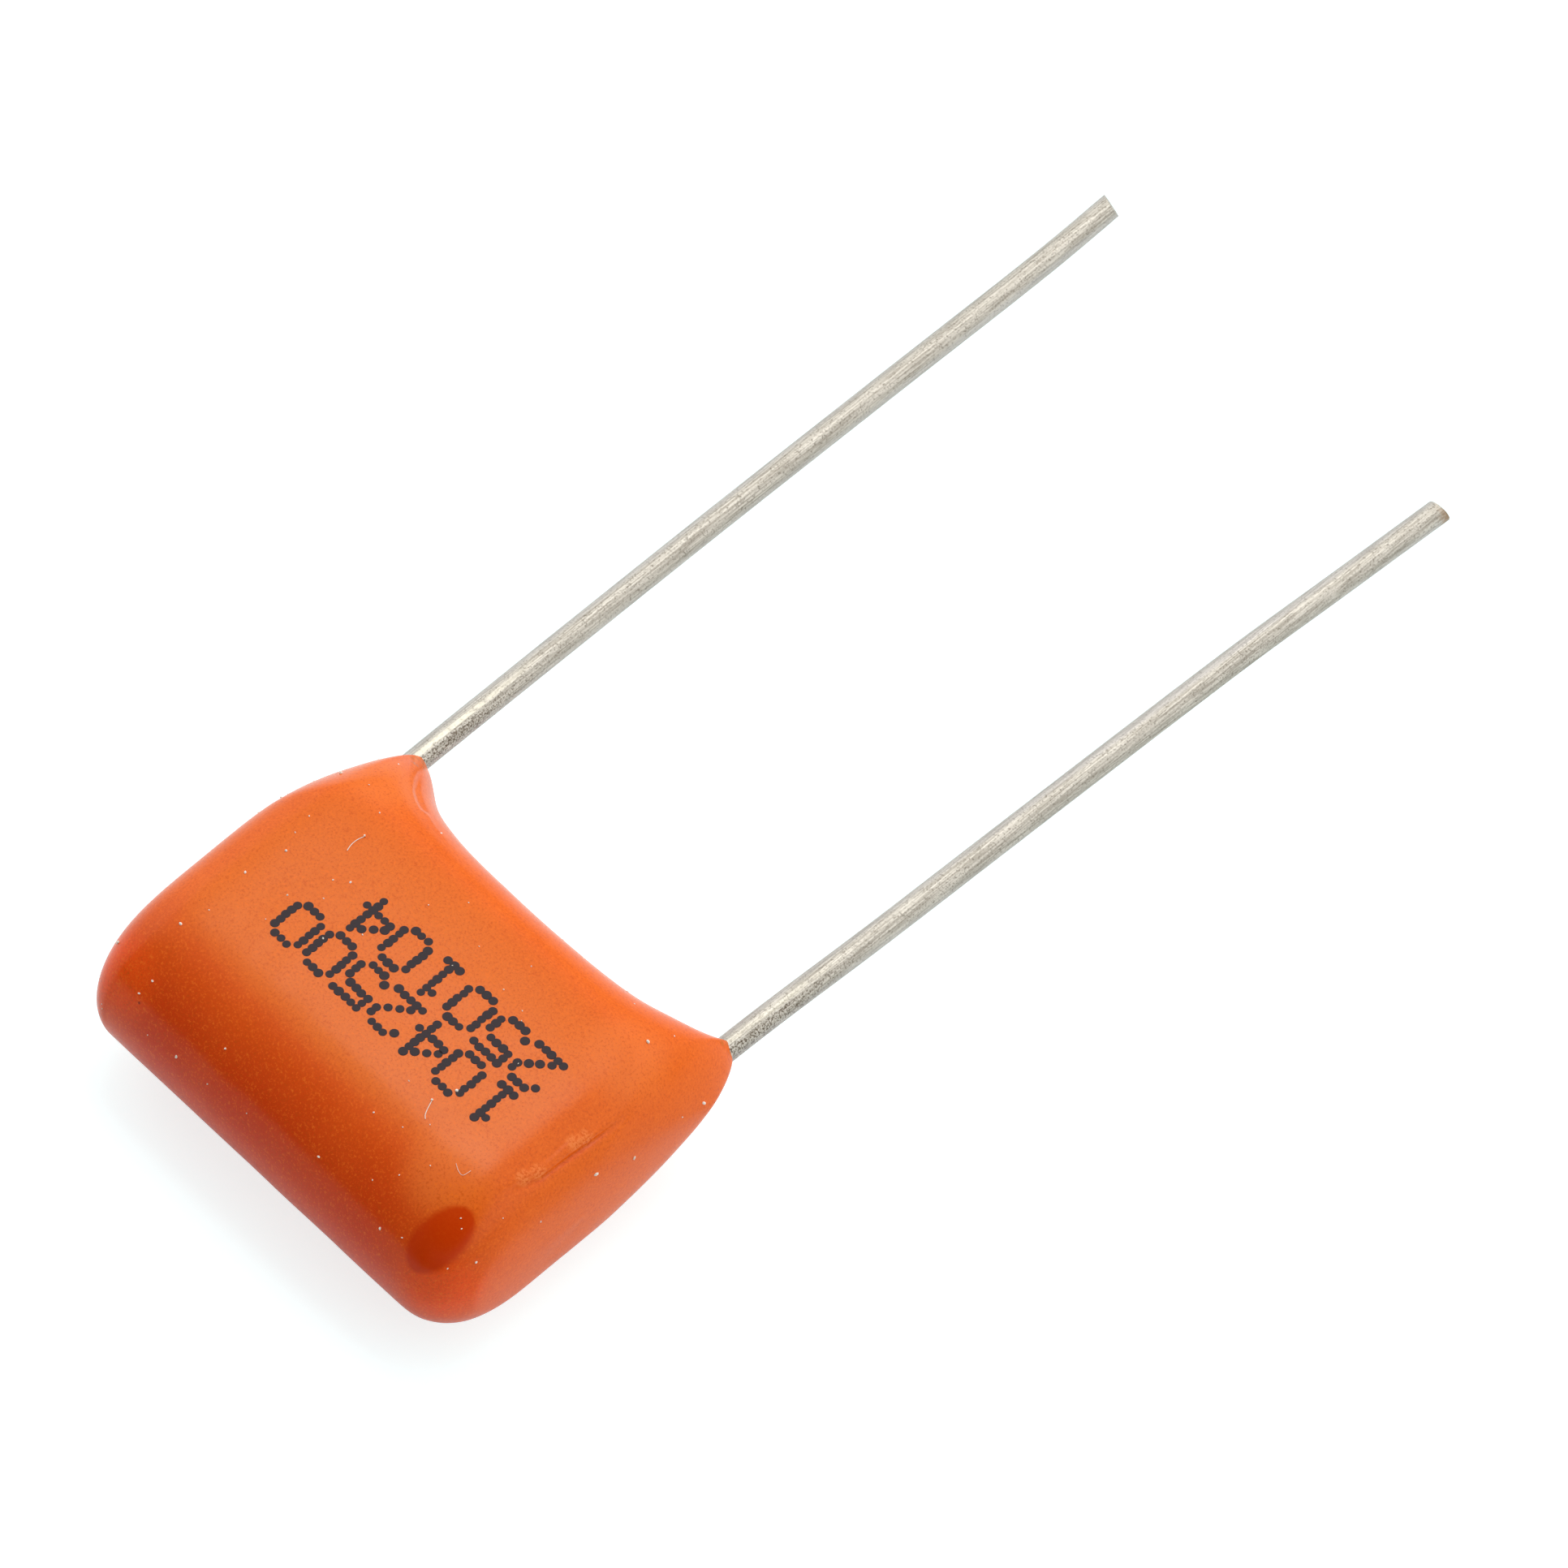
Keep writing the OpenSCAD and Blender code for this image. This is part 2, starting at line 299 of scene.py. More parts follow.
class Shaper:
    """Geometry node tree with a named input for each size, and the means to make a plain mesh with it."""

    def __init__(self, name):
        self.tree = bpy.data.node_groups.new(name, "GeometryNodeTree")
        self.tree.interface.new_socket("Geometry", in_out="OUTPUT", socket_type="NodeSocketGeometry")
        self.tree.interface.new_socket("Geometry", in_out="INPUT", socket_type="NodeSocketGeometry")
        self.start = self.tree.nodes.new("NodeGroupInput")
        self.end = self.tree.nodes.new("NodeGroupOutput")
        self.values = {}

    def add(self, kind, inputs=None, **properties):
        return add(self.tree, kind, inputs, **properties)

    def take(self, name, value, kind="Float"):
        """Named input of the tree, with the value that the modifier gives it."""
        socket = self.tree.interface.new_socket(name, in_out="INPUT", socket_type="NodeSocket" + kind)
        self.values[socket.identifier] = value
        taken = self.start.outputs[name]
        return Number(self.tree, taken) if kind in ("Float", "Int") else taken

    def given(self):
        return self.start.outputs["Geometry"]

    def spread(self, vector):
        """The three numbers of a vector."""
        node = self.add("ShaderNodeSeparateXYZ", {0: vector})
        return [Number(self.tree, socket) for socket in node.outputs]

    def gather(self, x, y, z):
        return self.add("ShaderNodeCombineXYZ", {0: x, 1: y, 2: z}).outputs[0]

    def noise(self, scale, vector=None, detail=2.0):
        inputs = {"Scale": scale, "Detail": detail}
        if vector is not None:
            inputs["Vector"] = vector
        return Number(self.tree, self.add("ShaderNodeTexNoise", inputs).outputs[0])

    def chance(self, low, high, seed):
        """Random number between two limits for each point."""
        node = self.add("FunctionNodeRandomValue", {2: low, 3: high, "Seed": seed}, data_type="FLOAT")
        return Number(self.tree, node.outputs[1])

    def chance_vector(self, low, high, seed):
        """Random vector between two limits for each point."""
        inputs = {"Min": low, "Max": high, "Seed": seed}
        return self.add("FunctionNodeRandomValue", inputs, data_type="FLOAT_VECTOR").outputs[0]

    def move(self, geometry, **inputs):
        return self.add("GeometryNodeSetPosition", {"Geometry": geometry, **inputs}).outputs[0]

    def softened(self, geometry, rounds):
        """Geometry whose breaks in curvature run out over more points, while its form stays."""
        place = self.add("GeometryNodeInputPosition").outputs[0]
        once, twice = (self.add("GeometryNodeBlurAttribute", {"Iterations": rounds}, data_type="FLOAT_VECTOR")
                       for _ in range(2))
        vector = [socket for socket in once.inputs if socket.name == "Value" and socket.type == "VECTOR"][0]
        index = list(once.inputs).index(vector)
        out = [i for i, socket in enumerate(once.outputs) if socket.type == "VECTOR"][0]
        plug(self.tree, place, once.inputs[index])
        plug(self.tree, once.outputs[out], twice.inputs[index])
        soft, softer = once.outputs[out], twice.outputs[out]
        lost = self.add("ShaderNodeVectorMath", {0: soft, 1: softer}, operation="SUBTRACT").outputs[0]
        back = self.add("ShaderNodeVectorMath", {0: soft, 1: lost}, operation="ADD").outputs[0]
        return self.move(geometry, Position=back)

    def along_normal(self, distance):
        normal = self.add("GeometryNodeInputNormal").outputs[0]
        node = self.add("ShaderNodeVectorMath", {0: normal, "Scale": distance}, operation="SCALE")
        return node.outputs[0]

    def finish(self, geometry, material, smooth=True):
        """Realizes the instances, sets the material and ends the tree."""
        real = self.add("GeometryNodeRealizeInstances", {"Geometry": geometry}).outputs[0]
        shaded = self.add("GeometryNodeSetShadeSmooth", {"Geometry": real, "Shade Smooth": smooth}).outputs[0]
        painted = self.add("GeometryNodeSetMaterial", {"Geometry": shaded, "Material": material}).outputs[0]
        plug(self.tree, painted, self.end.inputs[0])

    def make(self, name, points=(), edges=()):
        """New object of that name with the tree's result as its own plain mesh."""
        base = bpy.data.meshes.new(name)
        base.from_pydata([tuple(point) for point in points], list(edges), [])
        piece = bpy.data.objects.new(name, base)
        bpy.context.scene.collection.objects.link(piece)
        modifier = piece.modifiers.new("Shape", "NODES")
        modifier.node_group = self.tree
        for identifier, value in self.values.items():
            modifier[identifier] = value
        bpy.context.view_layer.update()
        made = bpy.data.meshes.new_from_object(piece.evaluated_get(bpy.context.evaluated_depsgraph_get()))
        if not made.polygons:
            raise RuntimeError(f"{name} came out empty")
        piece.modifiers.clear()
        piece.data = made
        made.name = name
        bpy.data.meshes.remove(base)
        return piece


def replace_piece(name):
    """Removes the piece of that name that an earlier run of its operator left."""
    old = bpy.data.objects.get(name)
    if old is not None:
        bpy.data.objects.remove(old, do_unlink=True)


# Finishes

# Places of marks on the coating, in millimetres
# Painted shade: darker red in the creases at the horns' lips, where the wires go in
HORN_LIP_SHADES = (
    (-4.86, 4.93, 3.19), (-4.88, 5.10, 2.99), (-4.89, 5.25, 2.75), (-4.74, 5.16, 2.82), (-4.59, 5.04, 2.96),
    (5.04, 4.95, 2.98), (5.02, 5.12, 2.76), (5.09, 5.14, 2.64), (5.20, 5.07, 2.62),
)
# Painted sheen: pale patches near the top's edges, where the key light's reflection spreads
SHEEN_PATCHES = ((4.6, 2.5, 4.6), (4.1, -2.3, 4.65), (-4.4, 3.6, 4.35))
# Painted light: two front corners made brighter red
PAINTED_LIGHT_CORNERS = ((-4.8, -3.7, 3.7), (5.4, -3.8, 3.0))
SMUDGE = (-4.67, 4.84, 3.29)
DARK_SPOT = (-4.055, -3.905, 3.647)
# Painted highlights: pale streaks along the ridge beside the dent at the right end
RIDGE_HIGHLIGHTS = ((5.19, -1.15, 4.46), (5.27, -0.80, 4.40), (5.27, 0.25, 4.40), (5.32, 0.55, 4.34))
# Ends of a dark oval on the near corner: painted dark reflection, partly a darker patch of resin
DARK_OVAL_ENDS = ((4.757, -3.931, 3.541), (5.001, -2.684, 4.378))

# Reach of a mark, in millimetres
REACH = {
    "pale patch": 1.4,
    "bright corner": 1.3,
    "horn lip": 0.11,
    "scuff": 0.25,
    "smudge": 0.15,
    "dark spot": 0.045,
}

# Strength of each stain and each patch of painted light over what lies below it
STRENGTH = {
    "crown": 0.75,
    "pale patch": 0.6,
    "bright corner": 0.8,
    "dark grain": 0.7,
    "pale grain": 0.7,
    "pinhole": 0.55,
    "horn lip": 0.55,
    "scuff": 0.75,
    "drop": 0.85,
    "smudge": 0.55,
    "dark spot": 0.8,
}

# Limits between which the resin's colour fades, in millimetres: along the leads from the front edge, for the
# painted shade on the front, along the roll to the corners, up to the crown of the top, for its painted
# sheen, and in the sum of the distances from the two ends of the dark oval, a painted dark reflection that is
# partly darker resin
FRONT_FADE = (-4.4, -1.0)
CORNER_FADE = (3.4, 5.6)
TOP_SHEEN_FADE = (4.66, 4.845)
DARK_OVAL_FADE = (1.98, 1.74)

# Tints of the resin and of the tin: factors of the plain colour, one for each channel
RESIN_TINTS = {
    # Painted shade: deeper colours towards the front edge, plain and pale, and the pale colour away from it
    "thick": (0.87, 0.335, 0.2),
    "pale thick": (0.90, 0.41, 0.3),
    "pale thin": (1.03, 1.08, 1.2),
    "crown": (1.0, 1.38, 3.2),
    "pale patch": (1.10, 1.55, 5.2),
    "bright corner": (1.19, 0.68, 0.5),
    "dark grain": (0.80, 0.66, 0.55),
    "pale grain": (1.14, 1.40, 2.2),
    "pinhole": (0.45, 0.30, 0.30),
    "horn lip": (0.66, 1.0, 1.3),
    "scuff": (1.12, 1.9, 8.0),
    "drop": (0.77, 0.30, 0.15),
    "dark spot": (0.25, 0.15, 0.2),
}
TIN_TINTS = {
    "dull streak": (0.72, 0.70, 0.67),
    "bright streak": (1.28, 1.28, 1.28),
    "pit": (0.42, 0.39, 0.35),
    # Pits darkened as painted shade on the wire's low side
    "dark pit": (0.20, 0.15, 0.10),
    # Painted highlight on the wire
    "painted highlight": (1.5, 1.5, 1.4),
}

# Colours that are not tints of the plain colour: a smudge, and the painted reflection at the wires' rims
SMUDGE_COLOUR = (0.30, 0.17, 0.14)
RIM_REFLECTION_COLOUR = (0.66, 0.63, 0.62)

# Direction across a wire in which its painted highlight lies: parts upwards and towards the roll's left end
HIGHLIGHT_UP = 0.403
HIGHLIGHT_LEFT = 0.915

# Limits between which the tin's colour fades, in millimetres: along the leads away from the body, and across
# a wire to its low side for its painted shade, at the two edges of its painted highlight and to its rims for
# their painted reflection
BODY_FADE = (9.5, 6.0)
SHADED_SIDE_FADE = (0.03, -0.05)
HIGHLIGHT_FADES = ((0.01, 0.05), (0.16, 0.12))
RIM_REFLECTION_FADE = (0.17, 0.27)


class Finish:
    """Material on Object coordinates, in metres, with one principled shader."""

    def __init__(self, name, **constants):
        old = bpy.data.materials.get(name)
        if old is not None:
            bpy.data.materials.remove(old)
        self.material = bpy.data.materials.new(name)
        self.material.use_nodes = True
        self.tree = self.material.node_tree
        self.tree.nodes.clear()
        self.shader = self.add("ShaderNodeBsdfPrincipled")
        self.add("ShaderNodeOutputMaterial", {"Surface": self.shader.outputs[0]})
        self.place = self.add("ShaderNodeTexCoord").outputs["Object"]
        self.set(**constants)

    def add(self, kind, inputs=None, **properties):
        return add(self.tree, kind, inputs, **properties)

    def set(self, **inputs):
        for key, item in inputs.items():
            plug(self.tree, item, self.shader.inputs[key.replace("_", " ").title().replace("Ior", "IOR")])

    def stretched(self, x, y, z):
        """Coordinates with a scale of their own along each axis."""
        return self.add("ShaderNodeMapping", {"Vector": self.place, "Scale": (x, y, z)}).outputs[0]

    def noise(self, size, detail=2.0, roughness=0.5, vector=None):
        """Noise whose lumps are about size across, in metres."""
        inputs = {"Vector": vector or self.place, "Scale": 1 / size, "Detail": detail, "Roughness": roughness}
        return Number(self.tree, self.add("ShaderNodeTexNoise", inputs).outputs[0])

    def spots(self, size, radius):
        """1 in small round spots that are about size apart, and 0 elsewhere."""
        core = 0.6
        cells = self.add("ShaderNodeTexVoronoi", {"Vector": self.place, "Scale": 1 / size})
        return self.rise(cells.outputs["Distance"], radius / size, core * radius / size)

    def rise(self, value, low, high):
        """Smooth step of a value from 0 at low to 1 at high."""
        return smooth_rise(self.tree, value, low, high)

    def fade(self, value, limits):
        """Smooth step of a length between two limits that are given in millimetres."""
        low, high = limits
        return self.rise(value, low * MM, high * MM)

    def distance(self, point):
        """Distance from a point that is given in millimetres."""
        node = self.add("ShaderNodeVectorMath", {0: self.place, 1: Vector(point) * MM}, operation="DISTANCE")
        return Number(self.tree, node.outputs["Value"])

    def near(self, point, reach):
        """1 at a point and 0 beyond a reach, both given in millimetres."""
        core = 0.35
        return self.fade(self.distance(point), (reach, core * reach))

    def along(self, axis):
        """One coordinate: 0 along the roll, 1 along the leads, 2 up."""
        node = self.add("ShaderNodeSeparateXYZ", {0: self.place})
        return Number(self.tree, node.outputs[axis])

    def blend(self, share, first, second):
        """Colour that goes from first to second with a share."""
        node = self.add("ShaderNodeMix", {"Factor": share}, data_type="RGBA")
        for socket, item in ((node.inputs[6], first), (node.inputs[7], second)):
            plug(self.tree, (*item, 1) if isinstance(item, tuple) else item, socket)
        return node.outputs[2]

    def bump(self, height, distance, normal=None):
        inputs = {"Height": height, "Distance": distance, "Strength": 1.0}
        if normal is not None:
            inputs["Normal"] = normal
        return self.add("ShaderNodeBump", inputs).outputs[0]


def tint(base, by):
    """Colour made lighter or darker, one factor for each channel."""
    return tuple(min(1, channel * factor) for channel, factor in zip(base, by))


def tints_of(base, factors):
    """Colours by name, from a plain colour and a table of factors."""
    return {name: tint(base, by) for name, by in factors.items()}


def resin_finish(settings):
    """Orange resin with a fine grain and a few small marks. Painted shade deepens it towards the front edge
    and at the horns' lips. It has painted sheen on the top, painted light on two corners, painted highlights
    along the dent's ridge, and a painted dark reflection on the near corner that is partly a darker patch of
    resin.
    """
    finish = Finish("dipped_resin", specular_ior_level=0.17, ior=1.5)
    base = tuple(settings.colour)
    colours = tints_of(base, RESIN_TINTS)
    colours["smudge"] = SMUDGE_COLOUR
    # Painted shade: the colour deepens towards the front edge, which faces away from the light, and less so
    # at the corners
    thin = finish.fade(finish.along(1), FRONT_FADE)
    corner = finish.fade(finish.along(0).size(), CORNER_FADE) * 0.4
    thin = thin + corner - thin * corner
    slow = finish.rise(finish.noise(1.6 * MM, 2), 0.35, 0.65)
    fine = finish.noise(0.06 * MM, 3, 0.7)
    deep = finish.blend(thin, colours["thick"], base)
    pale = finish.blend(thin, colours["pale thick"], colours["pale thin"])
    shade = finish.blend(slow, deep, pale)

    # Stains and painted light that lie one over the other, from the lowest: share and name
    pinholes = finish.spots(0.75 * MM, 0.02 * MM)
    highlight_grain = finish.rise(fine, 0.38, 0.60)
    smeared = finish.rise(fine, 0.44, 0.56)
    from_dark_oval = finish.distance(DARK_OVAL_ENDS[0]) + finish.distance(DARK_OVAL_ENDS[1])
    # Painted sheen: the top side turns paler and bluer, as where the key light shines off it
    stains_and_painted_light = [(finish.fade(finish.along(2), TOP_SHEEN_FADE), "crown")]
    # Painted sheen in pale patches
    stains_and_painted_light += [(finish.near(place, REACH["pale patch"]), "pale patch") for place in SHEEN_PATCHES]
    # Painted light on two front corners
    stains_and_painted_light += [(finish.near(place, REACH["bright corner"]), "bright corner") for place in PAINTED_LIGHT_CORNERS]
    stains_and_painted_light += [
        (finish.rise(fine, 0.50, 0.30), "dark grain"),
        (finish.rise(fine, 0.50, 0.70), "pale grain"),
        (pinholes, "pinhole"),
    ]
    # Painted shade at the horns' lips
    stains_and_painted_light += [(finish.near(place, REACH["horn lip"]), "horn lip") for place in HORN_LIP_SHADES]
    # Painted highlights along the dent's ridge, broken up by the grain
    stains_and_painted_light += [(finish.near(place, REACH["scuff"]) * highlight_grain, "scuff") for place in RIDGE_HIGHLIGHTS]
    stains_and_painted_light += [
        # Painted dark reflection on the near corner, partly a darker patch of resin
        (finish.fade(from_dark_oval, DARK_OVAL_FADE), "drop"),
        (finish.near(SMUDGE, REACH["smudge"]) * smeared, "smudge"),
        (finish.near(DARK_SPOT, REACH["dark spot"]), "dark spot"),
    ]
    for share, name in stains_and_painted_light:
        shade = finish.blend(share * STRENGTH[name], shade, colours[name])
    finish.set(base_color=shade, roughness=finish.noise(0.08 * MM, 2) * 0.08 + 0.17)
    peel = finish.bump(finish.noise(0.14 * MM, 2), 0.0015 * MM)
    finish.set(normal=finish.bump(fine - pinholes, 0.0012 * MM, peel))
    return finish.material


def tin_finish(name, settings, route, highlight_strength, bare_core):
    """Pitted tin with streaks along the wire and, near the body, a painted highlight and painted shade of
    darker pits on its low side, a painted reflection at its rims, and a bare core if asked.
    """
    finish = Finish(name, metallic=1.0)
    base = tuple(settings.colour)
    colours = tints_of(base, TIN_TINTS)
    streaks = finish.noise(1 * MM, 3, 0.6, finish.stretched(28, 0.7, 28))
    grain = finish.noise(0.045 * MM, 3, 0.7)
    pits = finish.rise(grain, 0.48, 0.36)
    shade = finish.blend(finish.rise(streaks, 0.32, 0.68), colours["dull streak"], colours["bright streak"])
    shade = finish.blend(pits * 0.6, shade, colours["pit"])

    # Distance across the wire from its middle, which leans with the wire
    foot, lean = route[2], route[-1] - route[2]
    middle = (finish.along(1) - foot.y) * (lean.x / lean.y) + foot.x
    across = (finish.along(2) - foot.z) * HIGHLIGHT_UP - (finish.along(0) - middle) * HIGHLIGHT_LEFT
    beside = finish.fade(finish.along(1), BODY_FADE)
    # Painted shade: the pits near the body are darker only on the wire's low side
    pits_in_painted_shade = beside * finish.fade(across, SHADED_SIDE_FADE) * finish.rise(grain, 0.54, 0.44)
    shade = finish.blend(pits_in_painted_shade * 0.75, shade, colours["dark pit"])
    # Painted highlight: a bright band along the wire's upper side near the body
    band = finish.fade(across, HIGHLIGHT_FADES[0]) * finish.fade(across, HIGHLIGHT_FADES[1])
    smooth = band * beside * highlight_strength * finish.rise(finish.noise(0.45 * MM, 2), 0.36, 0.50)
    shade = finish.blend(smooth, shade, colours["painted highlight"])
    # Painted reflection: a lighter colour at the wire's two rims
    rim_reflection = finish.fade(across.size(), RIM_REFLECTION_FADE)
    shade = finish.blend(rim_reflection * 0.4, shade, RIM_REFLECTION_COLOUR)
    if bare_core is not None:
        torn = finish.near(bare_core / MM, 0.42) * finish.rise(finish.noise(0.15 * MM, 2), 0.38, 0.52)
        shade = finish.blend(torn * 0.8, shade, tuple(settings.copper))
    finish.set(base_color=shade, roughness=0.34 + pits * 0.25 + streaks * 0.10)
    lines = finish.bump(streaks, 0.008 * MM)
    finish.set(normal=finish.bump(grain, 0.012 * MM, lines))
    return finish.material


def ink_finish(settings):
    """Dark ink with a fine mottle."""
    finish = Finish("dot_ink", specular_ior_level=0.2)
    base = tuple(settings.colour)
    faded = tint(base, (1.7, 1.6, 1.6))
    mottle = finish.noise(0.05 * MM, 2)
    finish.set(base_color=finish.blend(mottle, base, faded), roughness=mottle * 0.2 + 0.38)
    finish.set(normal=finish.bump(mottle, 0.003 * MM))
    return finish.material


def dust_finish(settings):
    """Pale dust whose colour changes slowly from place to place."""
    finish = Finish("pale_dust", roughness=0.8)
    base = tuple(settings.colour)
    dull = tint(base, (0.9, 0.8, 0.65))
    bright = tint(base, (1.1, 1.15, 1.3))
    finish.set(base_color=finish.blend(finish.noise(0.4 * MM, 1), dull, bright))
    return finish.material


def film_finish():
    """Metallised film, with the fine lines of its turns and scuffs along the roll."""
    finish = Finish("pressed_film", metallic=0.7)
    dull, bright = (0.60, 0.61, 0.63), (0.82, 0.83, 0.85)
    inputs = {"Vector": finish.place, "Scale": 14000, "Distortion": 2.0, "Detail": 2.0}
    turns = finish.add("ShaderNodeTexWave", inputs, bands_direction="Z")
    scuffs = finish.noise(1 * MM, 3, 0.6, finish.stretched(0.6, 12, 12))
    finish.set(base_color=finish.blend(scuffs, dull, bright), roughness=scuffs * 0.2 + 0.25)
    finish.set(normal=finish.bump(turns.outputs[1], 0.004 * MM))
    return finish.material


def zinc_finish():
    """Grey metal with the grain that spraying leaves."""
    finish = Finish("sprayed_metal", metallic=0.9)
    dull, bright = (0.34, 0.35, 0.37), (0.66, 0.67, 0.69)
    grains = finish.noise(0.12 * MM, 4, 0.7)
    finish.set(base_color=finish.blend(grains, dull, bright), roughness=grains * 0.3 + 0.45)
    finish.set(normal=finish.bump(grains, 0.04 * MM))
    return finish.material


# Coating

def coating_shape(settings, material):
    """Tree that lofts the coating through superelliptic sections, from one end wall to the other."""
    shaper = Shaper("Dipped coating")
    size = {}
    for key in CoatingSettings.__annotations__:
        if key != "colour":
            label = CoatingSettings.bl_rna.properties[key].name
            size[key] = shaper.take(label, getattr(settings, key))
    stations = shaper.take("Stations", 300, "Int")
    ring = shaper.take("Points of a section", 288, "Int")
    cap = shaper.take("Rings of an end wall", 8, "Int")
    rounds = shaper.take("Softening", 90, "Int")
    inputs = {"Vertices": ring, "Side Segments": stations, "Fill Segments": cap, "Radius": 1.0, "Depth": 2.0}
    tube = shaper.add("GeometryNodeMeshCylinder", inputs, fill_type="TRIANGLE_FAN")
    across, up, along = shaper.spread(shaper.add("GeometryNodeInputPosition").outputs[0])

    # Station along the roll, closest together at the walls and the leads
    leads_at = 0.62
    share = along.size()
    inside = (share / leads_at).within(0, 1)
    outside = ((1 - share) / (1 - leads_at)).within(0, 1)
    quarter = math.pi / 2
    reach = size["lead_x"] * (inside * quarter).sum("SINE")
    reach = reach + (size["half_width"] - size["lead_x"]) * (outside * quarter).sum("COSINE")
    x = reach * along.sum("SIGN")
    is_right = along.sum("GREATER_THAN", 0)

    def between(first, last, part):
        return first + (last - first) * part

    def by_side(key):
        return between(size["left_" + key], size["right_" + key], is_right)

    def rounded(width, start, end):
        """Share of a rounding of that width at the station: 0 inside and 1 at the end wall."""
        u = ((reach - size["half_width"] + width) / width).within(0, 1)
        return 1 - (1 - u ** start).sum("MAXIMUM", 0) ** (1 / end)

    def swell(place, width):
        """Bell curve about a place along the roll."""
        u = (reach - place) / width
        return (u * u * -1).sum("EXPONENT")

    # Edges and half height of the section at the station
    to_lead = (reach / size["lead_x"]).within(0, 1)
    beyond = reach - size["lead_x"] - by_side("shift")
    blunt = size["horn_blunt"]
    steep = (beyond * beyond + blunt * blunt).root() - blunt
    fall = between(by_side("inner"), by_side("outer"), beyond.sum("GREATER_THAN", 0))
    horn = by_side("horn") * (steep / fall * -1).sum("EXPONENT")
    flat_front = size["front"] + size["front_nose"]
    corner = rounded(by_side("corner"), 2, by_side("corner_power"))
    draw = by_side("draw") * corner
    flat_back = size["saddle"] - size["saddle_nose"]
    drawn_back = flat_back - draw
    front_corner = rounded(by_side("front_corner"), 2, size["front_corner_power"])
    front_reach = between(size["front_nose"], by_side("front_nose"), front_corner)
    crest = size["saddle_nose"] + size["saddle_depth"] * to_lead ** size["saddle_power"] + horn
    crest = crest + by_side("foot") * swell(by_side("foot_at"), by_side("foot_width"))
    swell_beyond, swell_width = 0.4 * MM, 0.25 * MM
    crest = crest + by_side("swell") * swell(size["lead_x"] + swell_beyond, swell_width)
    lead_reach = between(crest, by_side("end_nose"), corner) + draw
    end_share = rounded(by_side("end_round"), size["end_start_power"], size["end_power"])
    height = between(size["half_thickness"], by_side("end_wall") / 2, end_share)
    beside = ((reach - size["lead_x"]) / (size["half_width"] - size["lead_x"])).within(0, 1)
    edge_power = between(size["saddle_nose_power"], size["horn_nose_power"], to_lead ** 3)
    lead_power = 2 / between(edge_power, size["end_nose_power"], beside * beside)
    front_power = 2 / size["front_power"]

    # Place round the section: up the lead side, over the top, down the front and back below
    turn = (up.sum("ARCTAN2", across) / (2 * math.pi) + 1).sum("FRACT")
    lead_end, top_end, front_end = 0.44, 0.58, 0.90
    lead_angle = (turn / lead_end).within(0, 1) * math.pi - math.pi / 2
    over = ((turn - lead_end) / (top_end - lead_end)).within(0, 1)
    front_angle = math.pi / 2 - ((turn - top_end) / (front_end - top_end)).within(0, 1) * math.pi
    below = ((turn - front_end) / (1 - front_end)).within(0, 1)
    flat = drawn_back - flat_front
    y = drawn_back + lead_reach * lead_angle.sum("COSINE").sum("MAXIMUM", 0) ** lead_power - flat * over
    y = y - front_reach * front_angle.sum("COSINE").sum("MAXIMUM", 0) ** front_power + flat * below
    lead_rise = lead_angle.sum("SINE").signed_power(lead_power)
    rise = lead_rise + front_angle.sum("SINE").signed_power(front_power) - 1

    # The top falls a little towards the saddle and the ends
    fall_limit = 1.2
    falling = ((y - size["fall_start"]) / (flat_back - size["fall_start"])).within(0, fall_limit)
    top = rise.within(0, 1)
    across_roll = reach / size["half_width"]
    drop = (size["fall"] * falling * falling + size["crown"] * across_roll * across_roll) * top * top

    # The end walls are domed, and their middles close them
    inwards = (across * across + up * up).root().within(0, 1)
    middle = (flat_back + flat_front) / 2
    y = between(middle, y, inwards)
    z = height * rise * inwards
    bulge_start, wall_middle, wall_reach = 3.0 * MM, 0.5 * MM, 3.5 * MM
    near_wall = ((reach - bulge_start) / (size["half_width"] - bulge_start)).within(0, 1)
    near_wall = near_wall * near_wall * (3 - near_wall * 2)
    along_wall = (y - wall_middle) / wall_reach
    up_wall = z / size["half_thickness"]
    bulge = by_side("wall") + by_side("lean") * along_wall + by_side("curve") * along_wall * along_wall
    bulge = (bulge - size["dome"] * up_wall * up_wall) * near_wall * along.sum("SIGN")
    place = shaper.gather(x + bulge, y, size["half_thickness"] + z - drop)
    lofted = shaper.softened(shaper.move(tube.outputs["Mesh"], Position=place), rounds)
    waves_per_metre = 700.0
    waves = (shaper.noise(waves_per_metre, detail=1.0) - 0.5) * size["unevenness"] * 2
    uneven = shaper.move(lofted, Offset=shaper.along_normal(waves))
    shaper.finish(uneven, shaper.take("Finish", material, "Material"))
    return shaper


# Direction from the part that its marks are seen from
VIEW = np.array((0.371, -0.390, 0.843))
VIEW = VIEW / np.linalg.norm(VIEW)

# Routes of the marks that dipping and handling left on the coating, in millimetres
DENT = [
    (5.26, -1.51, 4.41), (5.40, -0.92, 4.29), (5.41, -0.26, 4.27),
    (5.45, 0.53, 4.22), (5.47, 1.35, 4.18), (5.42, 1.76, 4.18),
]
DENT_RIDGE = [
    (5.13, -1.59, 4.50), (5.21, -1.07, 4.45), (5.31, -0.60, 4.36),
    (5.27, 0.21, 4.40), (5.33, 0.63, 4.33), (5.32, 1.12, 4.34),
]
CREASE = [
    (-4.44, 4.73, 3.38), (-4.31, 4.56, 3.55), (-3.88, 4.03, 4.01), (-3.69, 3.90, 4.09),
    (-3.32, 3.71, 4.20), (-3.11, 3.75, 4.14), (-2.72, 3.60, 4.26), (-2.27, 3.56, 4.29),
]
